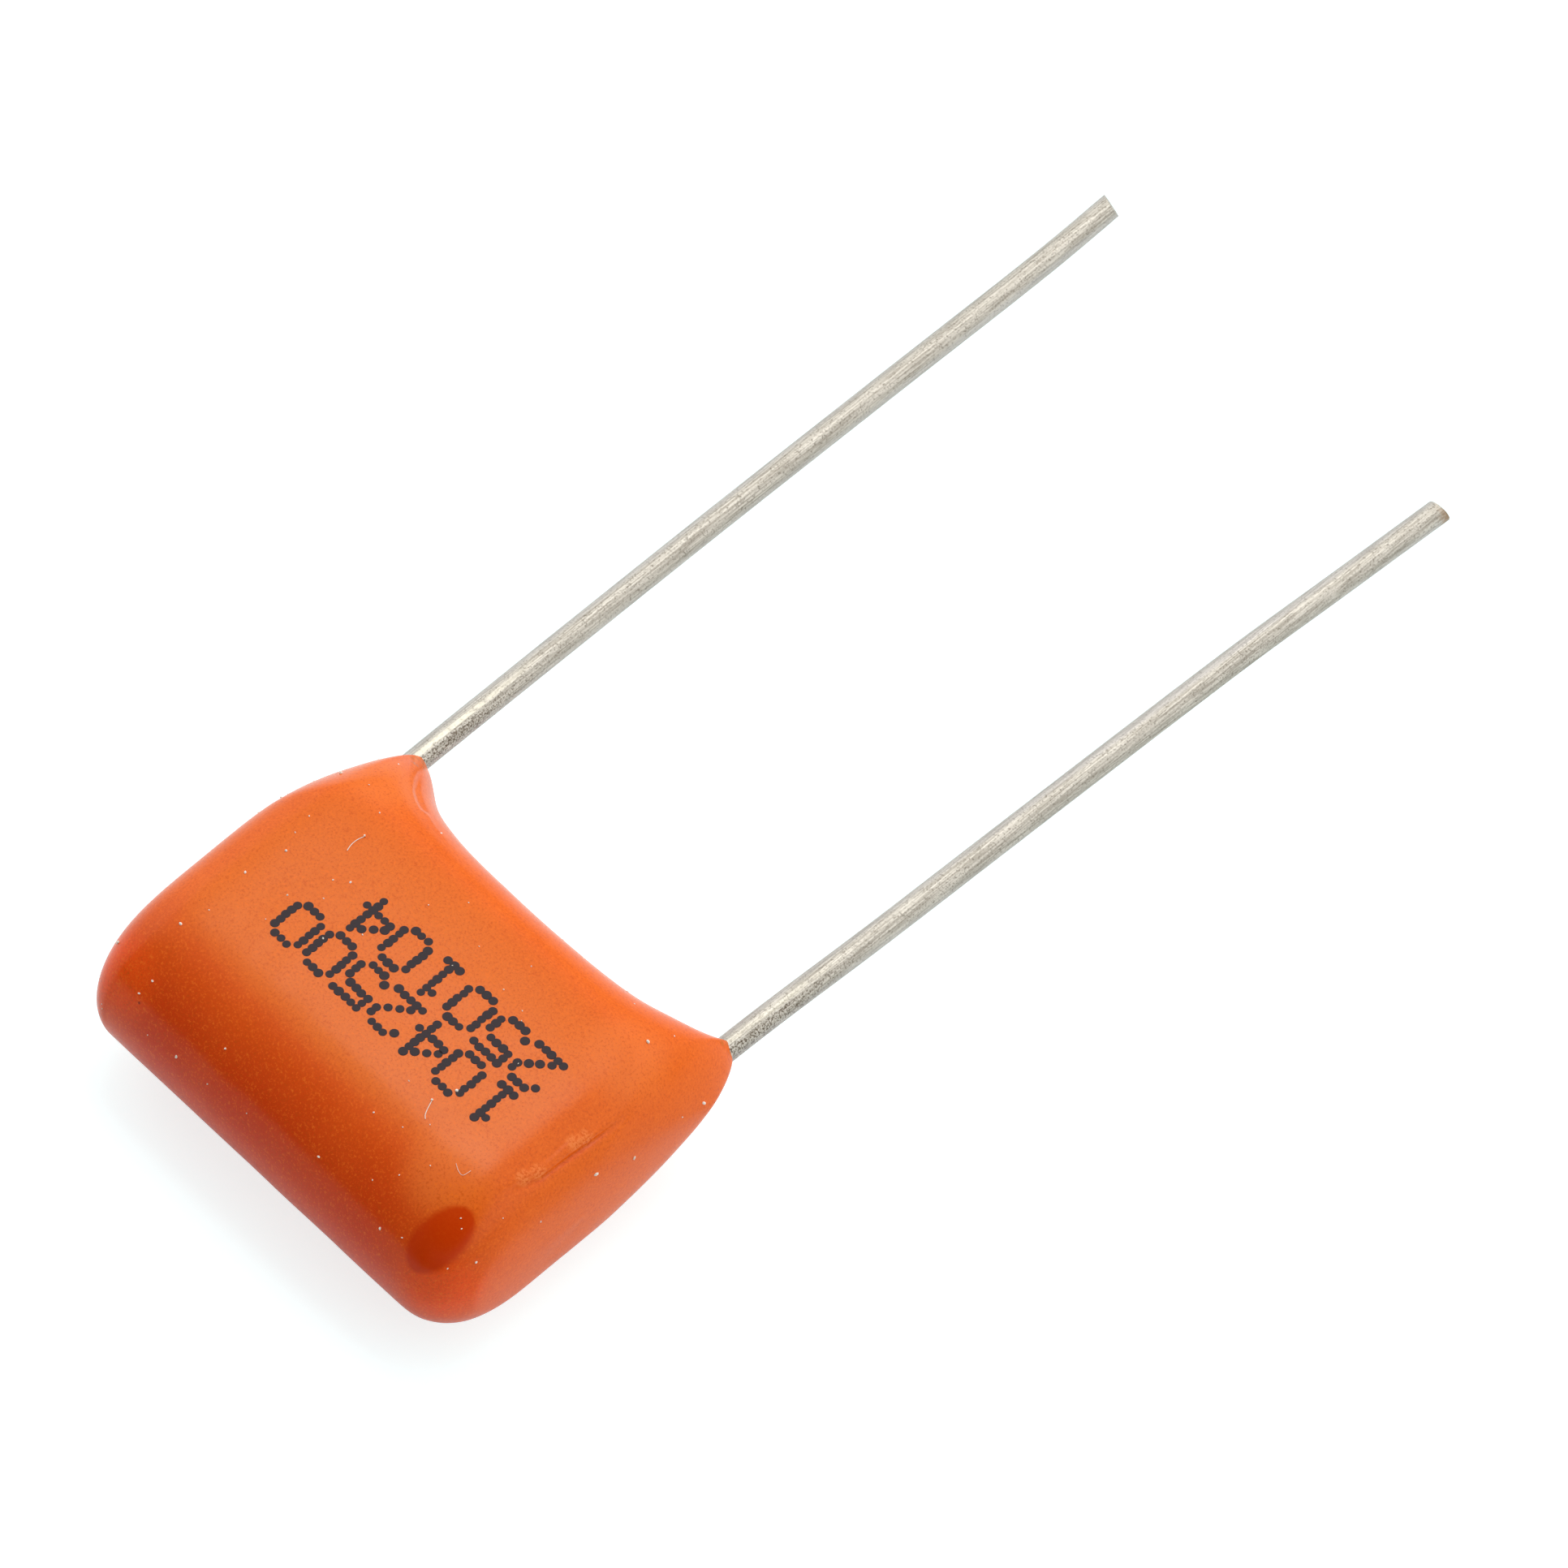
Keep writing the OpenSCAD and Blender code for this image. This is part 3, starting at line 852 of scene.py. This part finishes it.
CREASE_GROOVE = [
    (-4.47, 4.83, 3.21), (-4.27, 4.59, 3.49), (-3.88, 4.15, 3.84),
    (-3.61, 3.96, 3.99), (-3.32, 3.82, 4.09), (-3.12, 3.83, 4.06),
]

# Route, width and height of each mark, in millimetres
MARKS = [
    (DENT, 0.05, -0.085),
    (DENT_RIDGE, 0.12, 0.055),
    (CREASE, 0.035, 0.014),
    (CREASE_GROOVE, 0.06, -0.040),
]


def vertex_table(mesh, key):
    """Places or normals of a mesh's points, one row for each."""
    table = np.empty(len(mesh.vertices) * 3, np.float32)
    if key == "normal":
        mesh.vertex_normals.foreach_get("vector", table)
    else:
        mesh.vertices.foreach_get("co", table)
    return table.reshape(-1, 3).astype(float)


def set_vertices(mesh, points):
    """Moves a mesh's points to new places."""
    mesh.vertices.foreach_set("co", points.astype(np.float32).ravel())
    mesh.update()


def from_route(points, route):
    """Distance of each point from a route of straight lines, and the route's share at the nearest place."""
    route = np.array(route, float)
    ends = np.concatenate([[0], np.cumsum(np.linalg.norm(np.diff(route, axis=0), axis=1))])
    best = np.full(len(points), np.inf)
    share = np.zeros(len(points))
    for i, (a, b) in enumerate(zip(route[:-1], route[1:])):
        t = np.clip((points - a) @ (b - a) / ((b - a) @ (b - a)), 0, 1)
        away = np.linalg.norm(points - a - t[:, None] * (b - a), axis=1)
        nearer = away < best
        best = np.where(nearer, away, best)
        share = np.where(nearer, (ends[i] + t * (ends[i + 1] - ends[i])) / ends[-1], share)
    return best, share


def seen_flat(points):
    """Points moved along the view onto one plane."""
    points = np.array(points, float)
    return points - np.outer(points @ VIEW, VIEW)


def press_marks(mesh, marks):
    """Moves the surface in or out along routes: each mark is a route in millimetres, a width and a depth."""
    points = vertex_table(mesh, "co")
    normals = vertex_table(mesh, "normal")
    for route, width, depth in marks:
        away, share = from_route(seen_flat(points / MM), seen_flat(route))
        # Each mark fades towards its two ends, and stays on the side that is seen
        fade = np.sin(np.pi * np.clip(share, 0.02, 0.98)) ** 0.7 * (normals @ VIEW > 0)
        points += normals * (np.exp(-(away / width) ** 2) * fade * depth * MM)[:, None]
    set_vertices(mesh, points)


class CAPACITOR_OT_coating(bpy.types.Operator):
    """Make the dipped coating, with the marks that it has"""
    bl_idname = "capacitor.coating"
    bl_label = "Make the coating"

    def execute(self, context):
        settings = context.scene.capacitor_coating
        replace_piece("dipped_coating")
        piece = coating_shape(settings, resin_finish(settings)).make("dipped_coating")
        press_marks(piece.data, MARKS)
        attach(piece, "root")
        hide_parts("resin_coating")
        return {"FINISHED"}


# Leads

# Bends that handling left in each wire: share of the free stretch, and offset along the roll in millimetres
BENDS = {
    "left": [(0.0, -0.11), (0.35, -0.08), (0.65, 0.0), (0.88, 0.08), (1.0, 0.045)],
    "right": [(0.0, -0.01), (0.2, 0.0), (0.45, -0.035), (0.7, -0.05), (0.85, 0.01), (1.0, 0.07)],
}

# Each wire's own look: strength of its painted highlight, tilt of its cut and length of its burr
WIRES = {
    "left": (0.85, 0.46, 0.0),
    "right": (0.35, 0.2, 0.09 * MM),
}

# Length that a cut is drawn out over, and place, half height and half width of a burr under the tip
CUT_LENGTH = 0.35 * MM
BURR_UP, BURR_OUT = -0.26 * MM, 0.12 * MM
BURR_HEIGHT, BURR_WIDTH = 0.08 * MM, 0.12 * MM

# Place of the bare core at a torn tip, from the middle of the tip
BARE_CORE = Vector((0.15 * MM, 0.02 * MM, 0.0))


def lead_route(settings, pin, bends):
    """Points along a lead: its buried end and middle, and its bends up to its tip."""
    half = Vector(pin["axis"]) * pin["dims"]["length_mm"] * MM / 2
    kink, tip = Vector(pin["pos_m"]) - half, Vector(pin["pos_m"]) + half
    buried = [Vector((kink.x, y, kink.z)) for y in (settings.start, (settings.start + kink.y) / 2)]
    return buried + [kink.lerp(tip, share) + Vector((offset * MM, 0, 0)) for share, offset in bends]


def smooth_line(shaper, steps):
    """Smooth curve through the given points, in even steps."""
    line = shaper.add("GeometryNodeMeshToCurve", {0: shaper.given()}).outputs[0]
    line = shaper.add("GeometryNodeCurveSplineType", {"Curve": line}, spline_type="CATMULL_ROM").outputs[0]
    line = shaper.add("GeometryNodeSetSplineResolution", {0: line, "Resolution": 24}).outputs[0]
    return shaper.add("GeometryNodeResampleCurve", {"Curve": line, "Count": steps}).outputs[0]


def tube_along(shaper, line, radius, sides):
    """Closed round tube along a curve."""
    ring = shaper.add("GeometryNodeCurvePrimitiveCircle", {"Resolution": sides, "Radius": radius}).outputs[0]
    inputs = {"Curve": line, "Profile Curve": ring, "Fill Caps": True}
    return shaper.add("GeometryNodeCurveToMesh", inputs).outputs[0]


def lead_shape(settings, material):
    """Tree that sweeps a pitted wire along its route."""
    shaper = Shaper("Tinned lead")
    radius = shaper.take("Radius", settings.diameter / 2)
    pits = shaper.take("Pit depth", settings.pit_depth)
    rings = shaper.take("Rings", 1000, "Int")
    wire = tube_along(shaper, smooth_line(shaper, rings), radius, 32)
    x, y, z = shaper.spread(shaper.add("GeometryNodeInputPosition").outputs[0])
    lines_per_metre, pits_per_metre = 1000.0, 11000.0
    finer_across, coarser_along = 9, 0.25
    stretched = shaper.gather(x * finer_across, y * coarser_along, z * finer_across)
    drawn = shaper.noise(lines_per_metre, stretched)
    rough = shaper.noise(pits_per_metre)
    pit_share, line_share = 1.6, 1.2
    deep = (0.5 - rough).sum("MAXIMUM", 0) * pit_share + (0.5 - drawn).sum("MAXIMUM", 0) * line_share
    worn = shaper.move(wire, Offset=shaper.along_normal(deep * pits * -1))
    shaper.finish(worn, shaper.take("Finish", material, "Material"))
    return shaper


def snip_tip(mesh, tip, axis, slant, tilt, burr):
    """Slants the end of a wire, with its outer and lower sides longer, and leaves a burr below it."""
    points = vertex_table(mesh, "co")
    offset = points - np.array(tip)
    back = offset @ np.array(axis)
    end = np.clip(1 + back / CUT_LENGTH, 0, 1)
    outer = offset[:, 0] * math.copysign(1, tip.x)
    points += np.outer(end * (outer * math.tan(slant) - offset[:, 2] * tilt), np.array(axis))
    up = (offset[:, 2] - BURR_UP) / BURR_HEIGHT
    out = (outer - BURR_OUT) / BURR_WIDTH
    lip = np.exp(-up ** 2 - out ** 2) * end ** 4
    outwards, downwards = 0.6, -0.5
    points += np.outer(lip * burr, np.array(axis) * outwards + np.array((0, 0, downwards)))
    set_vertices(mesh, points)


class CAPACITOR_OT_leads(bpy.types.Operator):
    """Make the two tinned leads"""
    bl_idname = "capacitor.leads"
    bl_label = "Make the leads"

    def execute(self, context):
        settings = context.scene.capacitor_leads
        for side, (highlight_strength, tilt, burr) in WIRES.items():
            route = lead_route(settings, PINS[f"{side}_pin"], BENDS[side])
            tip = route[-1]
            axis = (tip - route[-2]).normalized()
            replace_piece(f"{side}_wire")
            bare_core = tip + BARE_CORE if burr else None
            material = tin_finish(f"pitted_tin_{side}", settings, route, highlight_strength, bare_core)
            steps = [(i, i + 1) for i in range(len(route) - 1)]
            piece = lead_shape(settings, material).make(f"{side}_wire", route, steps)
            snip_tip(piece.data, tip, axis, getattr(settings, f"{side}_snip"), tilt, burr)
            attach(piece, "root")
            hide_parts(f"{side}_lead")
        return {"FINISHED"}


# Print

# Dots of each character, five across and seven down
GLYPHS = {
    "0": (" ### ", "#   #", "#   #", "#   #", "#   #", "#   #", " ### "),
    "1": ("  #  ", " ##  ", "  #  ", "  #  ", "  #  ", "  #  ", " ### "),
    "2": (" ### ", "#   #", "    #", "   # ", "  #  ", " #   ", "#####"),
    "3": (" ### ", "#   #", "    #", "  ## ", "    #", "#   #", " ### "),
    "4": ("   # ", "  ## ", " # # ", "#  # ", "#####", "   # ", "   # "),
    "5": ("#####", "#    ", "#### ", "    #", "    #", "#   #", " ### "),
    "6": ("  ## ", " #   ", "#    ", "#### ", "#   #", "#   #", " ### "),
    "7": ("#####", "    #", "   # ", "  #  ", "  #  ", "  #  ", "  #  "),
    "8": (" ### ", "#   #", "#   #", " ### ", "#   #", "#   #", " ### "),
    "9": (" ### ", "#   #", "#   #", " ####", "    #", "   # ", " ##  "),
    ".": ("     ", "     ", "     ", "     ", "     ", " ##  ", " ##  "),
    " ": ("     ",) * 7,
}


def print_dots(settings):
    """Places of the ink dots, above the top side: rows run against the roll, with their tops to the front."""
    dots = []
    for row, letters in enumerate((settings.first, settings.second)):
        top = settings.first_row + row * settings.row_pitch
        for place, letter in enumerate(letters):
            left = settings.start - place * settings.letter_pitch
            for down, line in enumerate(GLYPHS[letter]):
                dots += [(left - column * settings.pitch, top + down * settings.rise, 2 * COAT_HIGH.z)
                         for column, mark in enumerate(line) if mark == "#"]
    return dots


def drop_onto(shaper, surface):
    """Places under the given points on a surface object, and whether each ray met it."""
    target = shaper.add("GeometryNodeObjectInfo", {"Object": surface}, transform_space="RELATIVE")
    inputs = {"Target Geometry": target.outputs["Geometry"], "Ray Direction": (0, 0, -1), "Ray Length": 1.0}
    ray = shaper.add("GeometryNodeRaycast", inputs)
    return ray.outputs["Hit Position"], ray.outputs["Is Hit"]


def print_shape(settings, surface, material):
    """Tree that sets a thin disc of ink on the coating under each dot."""
    shaper = Shaper("Dot print")
    ring = shaper.take("Dot radius", settings.dot / 2)
    thick = shaper.take("Ink thickness", settings.thickness)
    wander = shaper.take("Wander", 0.012 * MM)
    seed = shaper.take("Seed", 3, "Int")
    shift = shaper.chance_vector((-1, -1, 0), (1, 1, 0), seed)
    shift = shaper.add("ShaderNodeVectorMath", {0: shift, "Scale": wander}, operation="SCALE").outputs[0]
    dots = shaper.move(shaper.given(), Offset=shift)
    hit, found = drop_onto(shaper, shaper.take("Surface", surface, "Object"))
    dots = shaper.move(dots, Selection=found, Position=hit)
    taper, smallest, largest = 0.9, 0.90, 1.12
    inputs = {"Vertices": 16, "Radius Top": ring * taper, "Radius Bottom": ring, "Depth": thick * 2}
    disc = shaper.add("GeometryNodeMeshCone", inputs, fill_type="NGON").outputs[0]
    disc = shaper.move(disc, Offset=shaper.gather(0.0, 0.0, thick * -1))
    inputs = {"Points": dots, "Instance": disc, "Scale": shaper.chance(smallest, largest, seed + 1)}
    laid = shaper.add("GeometryNodeInstanceOnPoints", inputs).outputs[0]
    shaper.finish(laid, shaper.take("Finish", material, "Material"), smooth=False)
    return shaper


class CAPACITOR_OT_print(bpy.types.Operator):
    """Print the plain numbers on the coating"""
    bl_idname = "capacitor.print"
    bl_label = "Print the numbers"

    def execute(self, context):
        settings = context.scene.capacitor_print
        surface = bpy.data.objects["dipped_coating"]
        replace_piece("dot_print")
        piece = print_shape(settings, surface, ink_finish(settings)).make("dot_print", print_dots(settings))
        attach(piece, "root")
        return {"FINISHED"}


# Dust and lint

# Lint over the top of the coating: thickness against a plain fibre, and routes in millimetres
LINT = {
    "lint_fibres": (1.0, [
        [(-3.31, 1.56), (-3.36, 1.72), (-3.37, 1.90), (-3.33, 2.09)],
        [(2.84, -1.83), (2.76, -1.76), (2.68, -1.60), (2.61, -1.42)],
    ]),
    "lint_wisps": (0.55, [
        [(4.07, -2.08), (4.24, -2.16), (4.37, -2.15), (4.41, -1.96)],
    ]),
    "lint_knots": (3.0, [
        [(-3.345, 2.085), (-3.335, 2.10), (-3.325, 2.115)],
        [(2.60, -1.40), (2.605, -1.42), (2.61, -1.435)],
    ]),
}


def dust_shape(settings, surface, material):
    """Tree that scatters specks over what of the coating faces up."""
    shaper = Shaper("Dust")
    density = shaper.take("Density", settings.density / MM ** 2)
    speck = shaper.take("Speck radius", settings.speck)
    seed = shaper.take("Seed", settings.seed, "Int")
    target = shaper.add("GeometryNodeObjectInfo", {"Object": shaper.take("Surface", surface, "Object")})
    normal = shaper.spread(shaper.add("GeometryNodeInputNormal").outputs[0])
    steepest = 0.1
    faces_up = normal[2].sum("GREATER_THAN", steepest)
    inputs = {"Mesh": target.outputs["Geometry"], "Selection": faces_up, "Density": density, "Seed": seed}
    points = shaper.add("GeometryNodeDistributePointsOnFaces", inputs).outputs["Points"]
    grain = shaper.add("GeometryNodeMeshIcoSphere", {"Radius": speck, "Subdivisions": 1}).outputs[0]
    smallest, growth = 0.6, 1.3
    grow = shaper.chance(0.0, 1.0, seed + 1) ** 3 * growth + smallest
    full_turn, longer, flatter = 6.28, 1.5, 0.8
    turned = shaper.chance_vector((0, 0, 0), (full_turn,) * 3, seed + 2)
    scale = shaper.gather(grow * longer, grow, grow * flatter)
    inputs = {"Points": points, "Instance": grain, "Scale": scale, "Rotation": turned}
    laid = shaper.add("GeometryNodeInstanceOnPoints", inputs).outputs[0]
    shaper.finish(laid, shaper.take("Finish", material, "Material"))
    return shaper


def lint_shape(settings, thickness, surface, material):
    """Tree that lays each fibre on the coating along its route."""
    shaper = Shaper("Lint")
    radius = shaper.take("Fibre radius", settings.fibre * thickness)
    line = smooth_line(shaper, 24)
    hit, found = drop_onto(shaper, shaper.take("Surface", surface, "Object"))
    line = shaper.move(line, Selection=found, Position=hit, Offset=shaper.gather(0.0, 0.0, radius))
    shaper.finish(tube_along(shaper, line, radius, 6), shaper.take("Finish", material, "Material"))
    return shaper


class CAPACITOR_OT_dust(bpy.types.Operator):
    """Scatter the dust and lay the lint on the coating"""
    bl_idname = "capacitor.dust"
    bl_label = "Scatter dust and lint"

    def execute(self, context):
        settings = context.scene.capacitor_dust
        surface = bpy.data.objects["dipped_coating"]
        material = dust_finish(settings)
        replace_piece("dust_specks")
        pieces = [dust_shape(settings, surface, material).make("dust_specks")]
        for name, (thickness, routes) in LINT.items():
            points = [(x * MM, y * MM, 2 * COAT_HIGH.z) for route in routes for x, y in route]
            edges = []
            for route in routes:
                first = edges[-1][1] + 1 if edges else 0
                edges += [(first + i, first + i + 1) for i in range(len(route) - 1)]
            replace_piece(name)
            pieces.append(lint_shape(settings, thickness, surface, material).make(name, points, edges))
        for piece in pieces:
            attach(piece, "root")
        return {"FINISHED"}


# Inside

class CAPACITOR_OT_inside(bpy.types.Operator):
    """Give the roll and its end contacts their finishes"""
    bl_idname = "capacitor.inside"
    bl_label = "Finish the inside"

    def execute(self, context):
        film = film_finish()
        zinc = zinc_finish()
        finishes = {"film_winding": film, "left_end_contact": zinc, "right_end_contact": zinc}
        for node, material in finishes.items():
            slots = frame["nodes"][node].data.materials
            slots.clear()
            slots.append(material)
        return {"FINISHED"}


# Studio

# Soft lights of the room: azimuth from the roll's right end and elevation, in degrees, and brightness
ROOM = (
    (0, 90, 0.22),
    (30, 48, 0.84), (90, 48, 0.56), (150, 48, 0.78), (210, 48, 0.15), (330, 48, 0.52),
    (0, 10, 0.51), (45, 10, 0.33), (90, 10, 0.50), (180, 10, 0.92), (225, 10, 0.17), (315, 10, 0.06),
)


def towards(azimuth, elevation):
    """Direction with an azimuth from the roll's right end and an elevation, in degrees."""
    turn, rise = math.radians(azimuth), math.radians(elevation)
    return Vector((math.cos(turn) * math.cos(rise), math.sin(turn) * math.cos(rise), math.sin(rise)))


# Direction of the dark opening for the camera
OPENING = towards(-46.5, 57.4)

# Cosines between which a light of the room fades in, and the opening fades out
LIGHT_EDGE = (0.62, 0.98)
OPENING_EDGE = (0.90, 0.74)

# Share of the floor's white in a gloss, and the tint of the light that the shadow takes away
FLOOR_GLOSS = 0.33
FLOOR_SHADE = (0.40, 0.58, 0.595)

# Key light over the part: direction, and distance, width and depth in metres
KEY_DIRECTION = (-0.13, 0.285, 0.95)
KEY_DISTANCE, KEY_WIDTH, KEY_DEPTH = 0.5, 0.31, 0.13


def white_share(tree, gloss):
    """1 for a ray that the camera or a clear body sends, a share of it for a gloss, and 0 for the rest."""
    path = add(tree, "ShaderNodeLightPath")
    seen = Number(tree, path.outputs["Is Camera Ray"]).sum("MAXIMUM", path.outputs["Is Transmission Ray"])
    return seen.sum("MAXIMUM", Number(tree, path.outputs["Is Glossy Ray"]) * gloss)


def floor_material(settings):
    """White floor that keeps the part's shadow."""
    material = bpy.data.materials.new("studio_floor")
    material.use_nodes = True
    tree = material.node_tree
    tree.nodes.clear()
    plain = add(tree, "ShaderNodeBsdfDiffuse", {"Color": (0.95, 0.95, 0.95, 1)})
    shaded = add(tree, "ShaderNodeBsdfDiffuse", {"Color": (*FLOOR_SHADE, 1)})
    white = add(tree, "ShaderNodeEmission", {"Color": (1, 1, 1, 1), "Strength": settings.floor_white})
    seen = add(tree, "ShaderNodeAddShader", {0: white.outputs[0], 1: shaded.outputs[0]})
    share = white_share(tree, FLOOR_GLOSS)
    mix = add(tree, "ShaderNodeMixShader", {0: share, 1: plain.outputs[0], 2: seen.outputs[0]})
    add(tree, "ShaderNodeOutputMaterial", {"Surface": mix.outputs[0]})
    return material


def studio_world(settings):
    """Room of soft lights with a dark opening for the camera, and white to the camera."""
    world = bpy.data.worlds.new("Studio")
    bpy.context.scene.world = world
    world.use_nodes = True
    tree = world.node_tree
    tree.nodes.clear()
    direction = add(tree, "ShaderNodeTexCoord").outputs["Generated"]

    def facing(side, edge):
        """0 before and 1 after the edge, which is two cosines of the angle from a side of the room."""
        turn = add(tree, "ShaderNodeVectorMath", {0: direction, 1: side}, operation="DOT_PRODUCT")
        return smooth_rise(tree, turn.outputs["Value"], *edge)

    brightness = 0
    for azimuth, elevation, light in ROOM:
        brightness = facing(towards(azimuth, elevation), LIGHT_EDGE) * (light * settings.room) + brightness
    brightness = brightness * facing(OPENING, OPENING_EDGE)
    room = add(tree, "ShaderNodeBackground", {"Color": (1, 1, 1, 1), "Strength": brightness})
    white = add(tree, "ShaderNodeBackground", {"Color": (1, 1, 1, 1), "Strength": 1.0})
    camera = add(tree, "ShaderNodeLightPath").outputs["Is Camera Ray"]
    mix = add(tree, "ShaderNodeMixShader", {0: camera, 1: room.outputs[0], 2: white.outputs[0]})
    add(tree, "ShaderNodeOutputWorld", {"Surface": mix.outputs[0]})


def soft_light(name, direction, distance, width, depth, radiance):
    """Light that faces the part, wide along the roll, with about the given brightness as the part sees it."""
    light = bpy.data.lights.new(name, "AREA")
    light.shape = "RECTANGLE"
    light.size = width
    light.size_y = depth
    light.energy = radiance * math.pi * width * depth
    lamp = bpy.data.objects.new(name, light)
    bpy.context.scene.collection.objects.link(lamp)
    outwards = Vector(direction).normalized()
    lamp.location = outwards * distance
    back = outwards.cross(Vector((1, 0, 0))).normalized()
    lamp.rotation_mode = "QUATERNION"
    lamp.rotation_quaternion = Matrix((back.cross(outwards), back, outwards)).transposed().to_quaternion()


class CAPACITOR_OT_studio(bpy.types.Operator):
    """Set up the floor, the light and the camera"""
    bl_idname = "capacitor.studio"
    bl_label = "Set up the studio"

    def execute(self, context):
        settings = context.scene.capacitor_studio
        scene = context.scene
        scene.view_settings.view_transform = "Standard"
        side = 3.0  # half the floor's side, in metres
        corners = [(-side, -side, 0), (side, -side, 0), (side, side, 0), (-side, side, 0)]
        mesh = bpy.data.meshes.new("studio_floor")
        mesh.from_pydata(corners, [], [(0, 1, 2, 3)])
        mesh.materials.append(floor_material(settings))
        floor = bpy.data.objects.new("studio_floor", mesh)
        scene.collection.objects.link(floor)
        studio_world(settings)
        soft_light("key_light", KEY_DIRECTION, KEY_DISTANCE, KEY_WIDTH, KEY_DEPTH, settings.key)

        azimuth, elevation = settings.azimuth, settings.elevation
        forward_x = -math.cos(azimuth) * math.cos(elevation)
        forward_y = math.sin(azimuth) * math.cos(elevation)
        forward = Vector((forward_x, forward_y, -math.sin(elevation)))
        level = Vector((math.sin(azimuth), math.cos(azimuth), 0))
        right = Matrix.Rotation(-settings.roll, 3, forward) @ level
        camera = bpy.data.cameras.new("camera")
        camera.sensor_width = 36.0
        camera.lens = camera.sensor_width * settings.distance / MM * settings.pixels_per_mm / PHOTO_SIDE
        camera.clip_start = 0.01
        camera.clip_end = 20.0
        stand = bpy.data.objects.new("camera", camera)
        scene.collection.objects.link(stand)
        look = Vector((settings.look_x, settings.look_y, COAT_HIGH.z / 2))
        turned = Matrix((right, right.cross(forward), -forward)).transposed()
        stand.matrix_world = Matrix.Translation(look - forward * settings.distance) @ turned.to_4x4()
        scene.camera = stand
        return {"FINISHED"}


class CAPACITOR_PT_panel(bpy.types.Panel):
    """Settings and steps of the capacitor"""
    bl_label = "Film capacitor"
    bl_idname = "CAPACITOR_PT_panel"
    bl_space_type = "VIEW_3D"
    bl_region_type = "UI"
    bl_category = "Capacitor"

    def draw(self, context):
        for name, group in SETTINGS.items():
            box = self.layout.box()
            box.label(text=group.__doc__)
            for key in group.__annotations__:
                box.prop(getattr(context.scene, name), key)
        for operator in OPERATORS:
            self.layout.operator(operator.bl_idname)


OPERATORS = (
    CAPACITOR_OT_coating,
    CAPACITOR_OT_leads,
    CAPACITOR_OT_print,
    CAPACITOR_OT_dust,
    CAPACITOR_OT_inside,
    CAPACITOR_OT_studio,
)
CLASSES = (*SETTINGS.values(), *OPERATORS, CAPACITOR_PT_panel)


def register():
    for item in CLASSES:
        bpy.utils.register_class(item)
    for name, group in SETTINGS.items():
        setattr(bpy.types.Scene, name, PointerProperty(type=group))


def unregister():
    for name in SETTINGS:
        delattr(bpy.types.Scene, name)
    for item in reversed(CLASSES):
        bpy.utils.unregister_class(item)


def main():
    register()
    bpy.ops.capacitor.coating()
    bpy.ops.capacitor.leads()
    bpy.ops.capacitor.print()
    bpy.ops.capacitor.dust()
    bpy.ops.capacitor.inside()
    bpy.ops.capacitor.studio()


if __name__ == "__main__":
    main()
